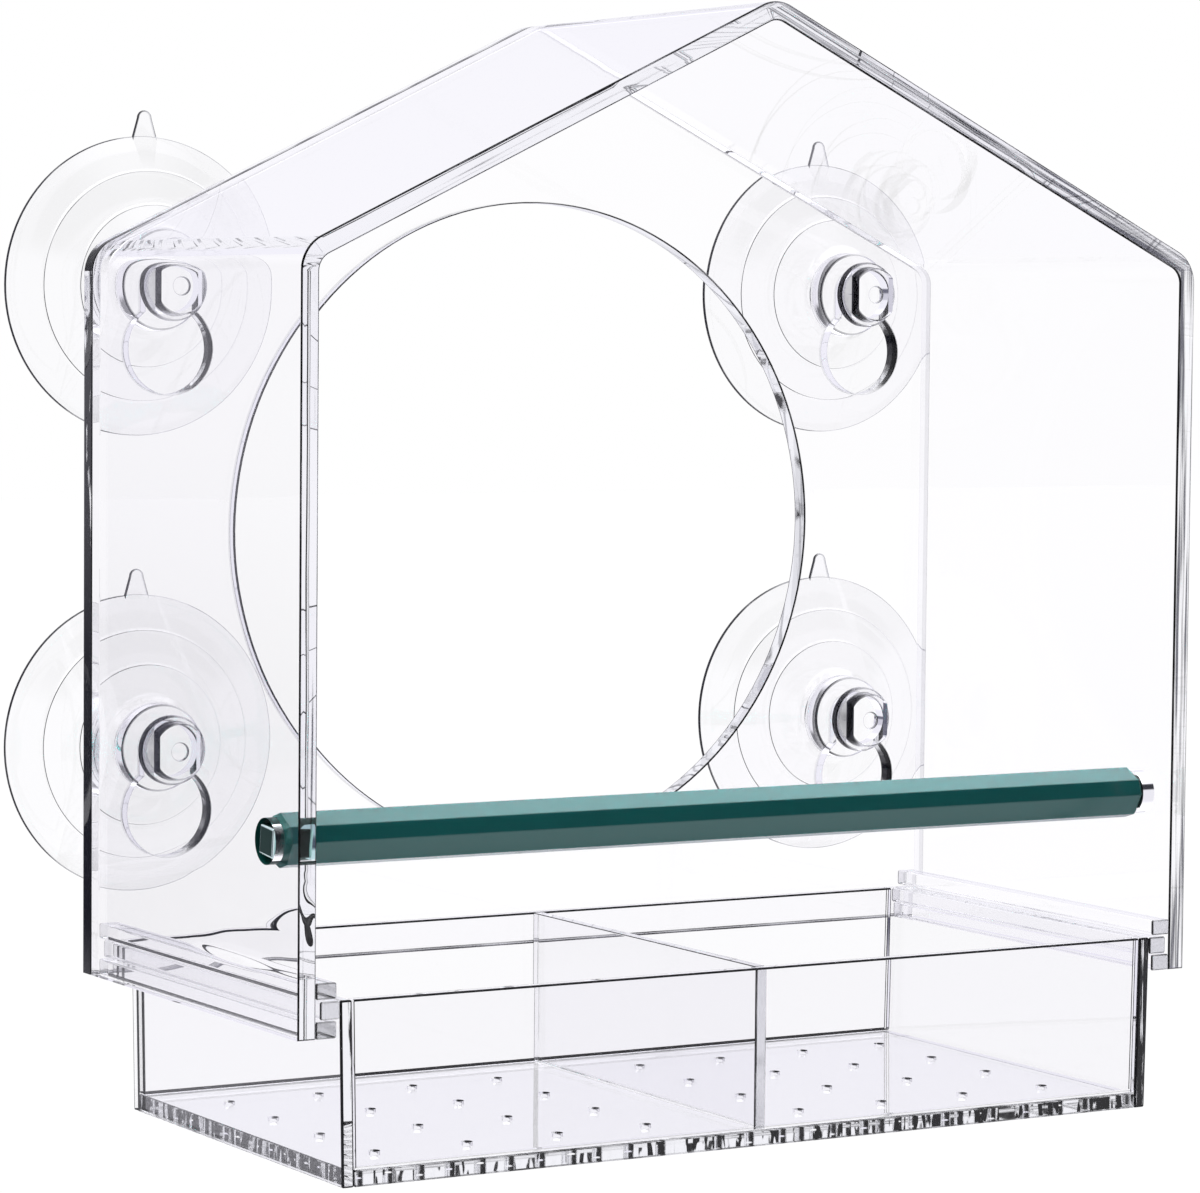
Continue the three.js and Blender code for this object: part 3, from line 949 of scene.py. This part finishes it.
def drain_tree():
    """Two square patches of round pins, one to each side of the floor's middle."""
    tree = geometry_tree("drain holes", {
        "Plate": "Geometry", "Drains in a Row": "Int", "Between Outer Drains": "Float",
        "Patch From Middle": "Float", "Middle of Floor": "Vector", "Radius": "Float",
        "Length": "Float", "Steps Around": "Int", "Finish": "Material",
    }, "Drains")
    given = tree.nodes.new("NodeGroupInput").outputs
    grid = new_node(tree, "GeometryNodeMeshGrid", {
        "Size X": given["Between Outer Drains"], "Size Y": given["Between Outer Drains"],
        "Vertices X": given["Drains in a Row"], "Vertices Y": given["Drains in a Row"],
    })
    patches = tree.nodes.new("GeometryNodeJoinGeometry")
    for side in (-1, 1):
        offset = combined(tree, calculated(tree, "MULTIPLY", given["Patch From Middle"], side))
        patch = new_node(tree, "GeometryNodeTransform", {
            "Geometry": grid.outputs["Mesh"],
            "Translation": vector_maths(tree, "ADD", offset, given["Middle of Floor"])[0],
        })
        tree.links.new(patch.outputs[0], patches.inputs[0])
    pin = new_node(tree, "GeometryNodeMeshCylinder", {
        "Vertices": given["Steps Around"], "Radius": given["Radius"], "Depth": given["Length"],
    })
    placed = new_node(tree, "GeometryNodeInstanceOnPoints", {
        "Points": patches.outputs[0], "Instance": pin.outputs["Mesh"],
    })
    realised = new_node(tree, "GeometryNodeRealizeInstances", {0: placed.outputs[0]})
    finished = new_node(tree, "GeometryNodeSetMaterial", {
        "Geometry": realised.outputs[0], "Material": given["Finish"],
    })
    new_node(tree, "NodeGroupOutput", {0: finished.outputs[0]})
    return tree


def tray_strips():
    for name in ("lip_left", "lip_right"):
        piece = strip_in_box(name, TRAY_STRIP, *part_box(f"tray_{name}"))
        dress(piece, "tray", "tray_acrylic", f"tray_{name}")
    piece = strip_in_box(
        "divider", TRAY_STRIP, *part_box("tray_divider"), radius=POLISHED_EDGE, rear=FACE,
    )
    # Its two top edges are painted near black, as shade
    refinish(piece, LINE, lambda face: face.normal.z > TILTED and abs(face.normal.x) > TILTED)
    dress(piece, "tray", "tray_acrylic", "tray_divider")


def tray_sides():
    for side, sign in (("left", -1), ("right", 1)):
        low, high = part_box(f"tray_wall_{side}")
        outer_top = sign * max(abs(low.x), abs(high.x))
        outer_foot = outer_top - sign * TRAY_DRAFT
        corners = [
            (outer_top, high.z), (outer_foot, low.z),
            (outer_foot - sign * TRAY_WALL, low.z), (outer_top - sign * TRAY_WALL, high.z),
        ]
        piece = prism(
            f"side_{side}", TRAY_SHEET, [rounded(corners, TRAY_EDGE)], low.y, high.y, across,
            edge=TRAY_EDGE, ends=(END, FACE),
        )
        middle = (low.y + high.y) / 2
        if side == "right":
            refinish(
                piece, FACE, lambda face: face.material_index == EASED and face.center.y > middle,
            )
        dress(piece, "tray", "tray_acrylic", f"tray_wall_{side}")


def tray_ends():
    for end in ("front", "back"):
        low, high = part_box(f"tray_wall_{end}")
        lean = TRAY_DRAFT * (high.z - low.z) / (high.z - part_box("tray_floor")[0].z)
        corners = [
            (low.x, high.z), (high.x, high.z), (high.x - lean, low.z), (low.x + lean, low.z),
        ]
        piece = prism(
            f"end_{end}", TRAY_SHEET, [rounded(corners, TRAY_EDGE)], low.y, high.y, across,
            edge=TRAY_EDGE,
        )
        # The tray edge's painted shade is taken off the edges that face right, and at the front also
        # off those that face left or down
        refinish(
            piece, FACE,
            lambda face: face.normal.x > TILTED
            or (end == "front" and (face.normal.x < -TILTED or face.normal.z < -SLIGHTLY)),
        )
        dress(piece, "tray", "tray_acrylic", f"tray_wall_{end}")


def tray_floor():
    low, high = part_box("tray_floor")
    outline = rectangle(low.x, low.y, high.x, high.y, POLISHED_EDGE)
    piece = prism(
        "floor_plate", FLOOR_SHEET, [outline], low.z, high.z, upright, walls=[LONG],
    )
    refinish(piece, END, lambda face: face.normal.x < -MOSTLY)
    middle = (low + high) / 2
    between = (DRAINS_IN_A_ROW - 1) * DRAIN_PITCH
    drains = new_object("drains", bpy.data.meshes.new("drains"))
    apply_tree(drains, drain_tree(), {
        "Drains in a Row": DRAINS_IN_A_ROW, "Between Outer Drains": between,
        "Patch From Middle": high.x - middle.x - DRAIN_MARGIN - between / 2,
        "Middle of Floor": middle, "Radius": DRAIN_RADIUS, "Length": 3 * (high.z - low.z),
        "Steps Around": DRAIN_STEPS, "Finish": DRAIN_WALL,
    })
    combine(piece, drains)
    dress(piece, "tray", "tray_acrylic", "tray_floor")


tray_strips()
tray_sides()
tray_ends()
tray_floor()


# Perch

def perch_section():
    """Eight sides in turn narrow and wide, as (front, up) corners."""
    half = PERCH_NARROW_FACE / 2
    reach = half + PERCH_WIDE_FACE / math.sqrt(2)
    corners = []
    for quarter in range(4):
        turn = Matrix.Rotation(quarter * math.pi / 2 + PERCH_SECTION_TURN, 2)
        for side in (-half, half):
            corners.append(tuple(turn @ Vector((reach, side))))
    return rounded(corners, SOFT_EDGE)


def chamfer_rings(length):
    """(inset, depth) of the bar's rings, with a chamfer at each end and its corners eased."""
    rings = [
        (PERCH_CHAMFER, 0), (PERCH_CHAMFER * 0.9, PERCH_CHAMFER_EASE),
        (PERCH_CHAMFER_EASE, PERCH_CHAMFER * 0.95), (0, PERCH_CHAMFER * 1.05),
    ]
    return rings + [(inset, length - depth) for inset, depth in reversed(rings)]


def perch():
    low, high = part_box("perch_bar")
    axis = (low + high) / 2

    def along(u, v, w):
        # u points at the front and v up, both turned with the bar
        y = -u * math.cos(PERCH_REST_TURN) - v * math.sin(PERCH_REST_TURN)
        z = v * math.cos(PERCH_REST_TURN) - u * math.sin(PERCH_REST_TURN)
        return Vector((w, axis.y + y, axis.z + z))

    bar_half = HALF_WIDTH - THICKNESS - PERCH_END_GAP
    bar = prism(
        "perch", BAR, [perch_section()], -bar_half, bar_half, along,
        rings=chamfer_rings(2 * bar_half), ends=(1, 1),
    )
    side = STUB_SIDE / 2
    square = rectangle(-side, -side, side, side, SOFT_EDGE)
    stub = prism("stub", STUB, [square], low.x, high.x, along, edge=SOFT_EDGE)
    combine(bar, stub, "UNION")
    dress(bar, "perch", "green_plastic", "perch_bar")


perch()


# Suction cups

def eased_profile(corners):
    """(radius, depth, ease, dark) corners, with each ease cut as a small arc.

    Returns the points and, for each, whether the stretch that starts there has the edge's painted
    shade: an ease of a dark corner has it, and so has the straight wall after a corner marked "wall".
    """
    points, dark_from = [], []
    for i, (radius, depth, ease, dark) in enumerate(corners):
        if not ease:
            points.append((radius, depth))
            dark_from.append(dark == "wall")
            continue
        steps = EASE_STEPS if ease < SOFT_EDGE else 3 * EASE_STEPS
        points += corner_arc(corners[i - 1][:2], (radius, depth), corners[i + 1][:2], ease, steps)
        dark_from += [bool(dark)] * steps + [dark == "wall"]
    return points, dark_from


def cup_profile():
    """From the middle of the hollow around the rim, and over both steps to the head's front."""
    boss_front = CUP_STAND_OFF - CUP_PLAY
    head_front = HEAD_REAR + HEAD_LENGTH
    outer_step, inner_step = Vector((0.0291, 0.0039)), Vector((0.0206, 0.007))
    riser = Vector((-CUP_STEP_WIDTH, CUP_STEP_DEPTH))
    return eased_profile([
        (0, 0.005, 0, ""),
        (0.022, 0.0036, 0.03, ""),
        (0.034, 0, 0.015, ""),
        (CUP_RADIUS, 0, 0.0002, "wall"),
        (CUP_RADIUS, 0.0009, 0.00035, "edge"),
        (*outer_step, 0.001, ""),
        (*(outer_step + riser), 0.0003, "edge"),
        (*inner_step, 0.001, ""),
        (*(inner_step + riser), 0.0003, "edge"),
        (0.0128, 0.0102, 0.003, ""),
        (BOSS_RADIUS, 0.0124, 0.003, ""),
        (BOSS_RADIUS, boss_front, 0.0005, "edge"),
        (NECK_RADIUS, boss_front, 0, ""),
        (NECK_RADIUS, HEAD_REAR, 0, ""),
        (HEAD_RADIUS, HEAD_REAR, 0.0003, "wall"),
        (HEAD_RADIUS, BLOCK_REAR, 0.0005, "edge"),
        (BLOCK_RADIUS, BLOCK_REAR, 0.0003, "wall"),
        (BLOCK_RADIUS, head_front, 0.0005, "edge"),
        (GATE_RADIUS, head_front, 0.0002, "edge"),
        (GATE_RADIUS, head_front - CUP_STEP_DEPTH, 0.0001, "edge"),
        (0, head_front - CUP_STEP_DEPTH, 0, ""),
    ])


def sampled(tree, kind, profile, value, index):
    """The value at the profile's point with this index."""
    inputs = {"Geometry": profile, "Value": value, "Index": index}
    return new_node(tree, "GeometryNodeSampleIndex", inputs, data_type=kind).outputs["Value"]


def row_of(tree, index, row_length):
    """The number of the row that holds the index. The half keeps rounding away from the limits."""
    share = calculated(tree, "DIVIDE", calculated(tree, "ADD", index, 0.5), row_length)
    return calculated(tree, "FLOOR", share)


def turned_place(tree, given, index, around):
    """Where a grid's corner goes: its row's profile point, turned by its column."""
    def maths(operation, *values):
        return calculated(tree, operation, *values)

    row = row_of(tree, index, around)
    column = maths("SUBTRACT", index, maths("MULTIPLY", row, around))
    position = tree.nodes.new("GeometryNodeInputPosition").outputs[0]
    point = sampled(tree, "FLOAT_VECTOR", given["Profile"], position, row)
    radius, depth, _ = xyz(tree, point)
    turn = maths("MULTIPLY", maths("DIVIDE", column, given["Steps Around"]), 2 * math.pi)
    x = maths("MULTIPLY", radius, maths("COSINE", turn))
    z = maths("MULTIPLY", radius, maths("SINE", turn))
    on_block = maths("GREATER_THAN", depth, given["Block Depth"])
    flat = maths("MINIMUM", maths("ABSOLUTE", x), given["Half Across Flats"])
    flat_x = maths("MULTIPLY", flat, maths("SIGN", x))
    chosen_x = maths(
        "ADD", maths("MULTIPLY", x, maths("SUBTRACT", 1.0, on_block)),
        maths("MULTIPLY", flat_x, on_block),
    )
    place = combined(tree, chosen_x, maths("MULTIPLY", depth, -1.0), z)
    return vector_maths(tree, "ADD", place, given["Place"])[0]


def named(tree, attribute):
    inputs = {"Name": attribute}
    made = new_node(tree, "GeometryNodeInputNamedAttribute", inputs, data_type="FLOAT")
    return made.outputs["Attribute"]


def turned_cup_tree():
    """Turns a profile of (radius, depth) points about the cup's axis and sets it in its place."""
    tree = geometry_tree("turned cup", {
        "Profile": "Geometry", "Steps Around": "Int", "Place": "Vector", "Block Depth": "Float",
        "Half Across Flats": "Float", "Body Finish": "Material", "Edge Painted Shade": "Material",
    }, "Cup")
    given = tree.nodes.new("NodeGroupInput").outputs
    size = new_node(tree, "GeometryNodeAttributeDomainSize", {0: given["Profile"]})
    around = calculated(tree, "ADD", given["Steps Around"], 1)
    grid = new_node(tree, "GeometryNodeMeshGrid", {
        "Vertices X": size.outputs["Point Count"], "Vertices Y": around,
    })
    index = tree.nodes.new("GeometryNodeInputIndex").outputs[0]
    moved = new_node(tree, "GeometryNodeSetPosition", {
        "Geometry": grid.outputs["Mesh"], "Position": turned_place(tree, given, index, around),
    })
    ribbon = row_of(tree, index, given["Steps Around"])
    dark = sampled(tree, "FLOAT", given["Profile"], named(tree, "dark"), ribbon)
    marked = new_node(
        tree, "GeometryNodeStoreNamedAttribute",
        {"Geometry": moved.outputs[0], "Name": "edge", "Value": dark},
        data_type="FLOAT", domain="FACE",
    )
    merged = new_node(tree, "GeometryNodeMergeByDistance", {
        "Geometry": marked.outputs[0], "Distance": 1e-6,
    })
    realised = new_node(tree, "GeometryNodeRealizeInstances", {0: merged.outputs[0]})
    body = new_node(tree, "GeometryNodeSetMaterial", {
        "Geometry": realised.outputs[0], "Material": given["Body Finish"],
    })
    eased = new_node(tree, "GeometryNodeSetMaterial", {
        "Geometry": body.outputs[0], "Material": given["Edge Painted Shade"],
        "Selection": calculated(tree, "GREATER_THAN", named(tree, "edge"), 0.5),
    })
    new_node(tree, "NodeGroupOutput", {0: eased.outputs[0]})
    return tree


def pull_tab(x, z):
    top = z + CUP_RADIUS
    tip = arc(x, top + TAB_LENGTH - TAB_TIP_RADIUS, TAB_TIP_RADIUS, 0, math.pi, TAB_STEPS)
    foot = [(x - TAB_HALF_WIDTH, top - TAB_OVERLAP), (x + TAB_HALF_WIDTH, top - TAB_OVERLAP)]
    return prism("tab", CUP, [foot + tip], TAB_FRONT, TAB_REAR, across)


def suction_cups():
    points, dark_from = cup_profile()
    tree = turned_cup_tree()
    for cup in CUPS:
        x, z = cup_centre(cup)
        data = bpy.data.meshes.new(f"cup_{cup}")
        data.from_pydata(
            [(radius, depth, 0) for radius, depth in points],
            [(i, i + 1) for i in range(len(points) - 1)], [],
        )
        dark = data.attributes.new("dark", "FLOAT", "POINT")
        dark.data.foreach_set("value", [float(here) for here in dark_from])
        piece = new_object(data.name, data)
        apply_tree(piece, tree, {
            "Steps Around": CUP_STEPS, "Place": (x, 0, z), "Block Depth": BLOCK_REAR - HAIR,
            "Half Across Flats": BLOCK_HALF_WIDTH, "Body Finish": CUP[0], "Edge Painted Shade": CUP[1],
        })
        mesh = bmesh.new()
        mesh.from_mesh(piece.data)
        to_outward_mesh(mesh, piece.data)
        combine(piece, pull_tab(x, z), "UNION")
        dress(piece, "cups", "soft_vinyl", f"suction_cup_{cup}")


suction_cups()


# Floor, lamps and camera

FLOOR_REACH = 6.0
FLOOR_DROP = 0.12
FLOOR_GLOW = 0.94
FLOOR_SHADE = 0.012


def pale_floor():
    """Glows as the studio does, and catches a very faint shadow. Reflections see only the glow."""
    material = bpy.data.materials.new("pale floor")
    material.use_nodes = True
    tree = material.node_tree
    tree.nodes.remove(tree.nodes["Principled BSDF"])
    geometry = tree.nodes.new("ShaderNodeNewGeometry")
    direction = vector_maths(tree, "NORMALIZE", geometry.outputs["Position"])[0]
    reflected = bounced(tree, "Glossy", 0)
    shade = calculated(tree, "MULTIPLY_ADD", reflected, -FLOOR_SHADE, FLOOR_SHADE)
    matt = new_node(tree, "ShaderNodeBsdfDiffuse", {"Color": shade})
    glow = new_node(tree, "ShaderNodeEmission", {
        "Color": studio_colour(tree, direction),
        "Strength": calculated(tree, "MULTIPLY_ADD", reflected, 1 - FLOOR_GLOW, FLOOR_GLOW),
    })
    both = new_node(tree, "ShaderNodeAddShader", {0: matt.outputs[0], 1: glow.outputs[0]})
    tree.links.new(both.outputs[0], tree.nodes["Material Output"].inputs["Surface"])
    return material


def floor():
    height = cad_box[0].z - FLOOR_DROP
    corners = ((-1, -1), (1, -1), (1, 1), (-1, 1))
    data = bpy.data.meshes.new("floor")
    data.from_pydata(
        [(x * FLOOR_REACH, y * FLOOR_REACH, height) for x, y in corners], [], [(0, 1, 2, 3)],
    )
    data.materials.append(pale_floor())
    piece = new_object("floor", data)


def lamp(name, place, size, power):
    """A square lamp that points at the frame's origin and doesn't show in the clear sheets."""
    data = bpy.data.lights.new(name, "AREA")
    data.shape = "SQUARE"
    data.size = size
    data.energy = power
    made = new_object(name, data)
    made.location = place
    made.rotation_euler = (-Vector(place)).to_track_quat("-Z", "Y").to_euler()
    made.visible_glossy = False
    made.visible_transmission = False


def camera():
    data = bpy.data.cameras.new("camera")
    data.sensor_width = SENSOR
    data.sensor_fit = "HORIZONTAL"
    data.lens = SENSOR * FOCAL_PIXELS / PHOTO_WIDTH
    data.clip_start = CLIP_START
    data.clip_end = CLIP_END
    made = new_object("camera", data)
    level = math.cos(CAMERA_ELEVATION)
    back = Vector((
        math.sin(CAMERA_AZIMUTH) * level, -math.cos(CAMERA_AZIMUTH) * level,
        math.sin(CAMERA_ELEVATION),
    ))
    right = Vector((math.cos(CAMERA_AZIMUTH), math.sin(CAMERA_AZIMUTH), 0))
    up = back.cross(right)
    c, s = math.cos(CAMERA_ROLL), math.sin(CAMERA_ROLL)
    columns = Matrix((c * right + s * up, c * up - s * right, back)).transposed()
    made.matrix_world = Matrix.Translation(CAMERA_PLACE) @ columns.to_4x4()
    bpy.context.scene.camera = made


floor()
lamp("overhead softbox", place=(0.1, 0.35, 1.1), size=0.9, power=9)
lamp("front fill", place=(-1.2, -1.0, 0.6), size=0.8, power=4)
camera()

BOUNCES = 48
scene = bpy.context.scene
scene.view_settings.view_transform = "Standard"
scene.cycles.max_bounces = BOUNCES
scene.cycles.glossy_bounces = BOUNCES
scene.cycles.transmission_bounces = BOUNCES
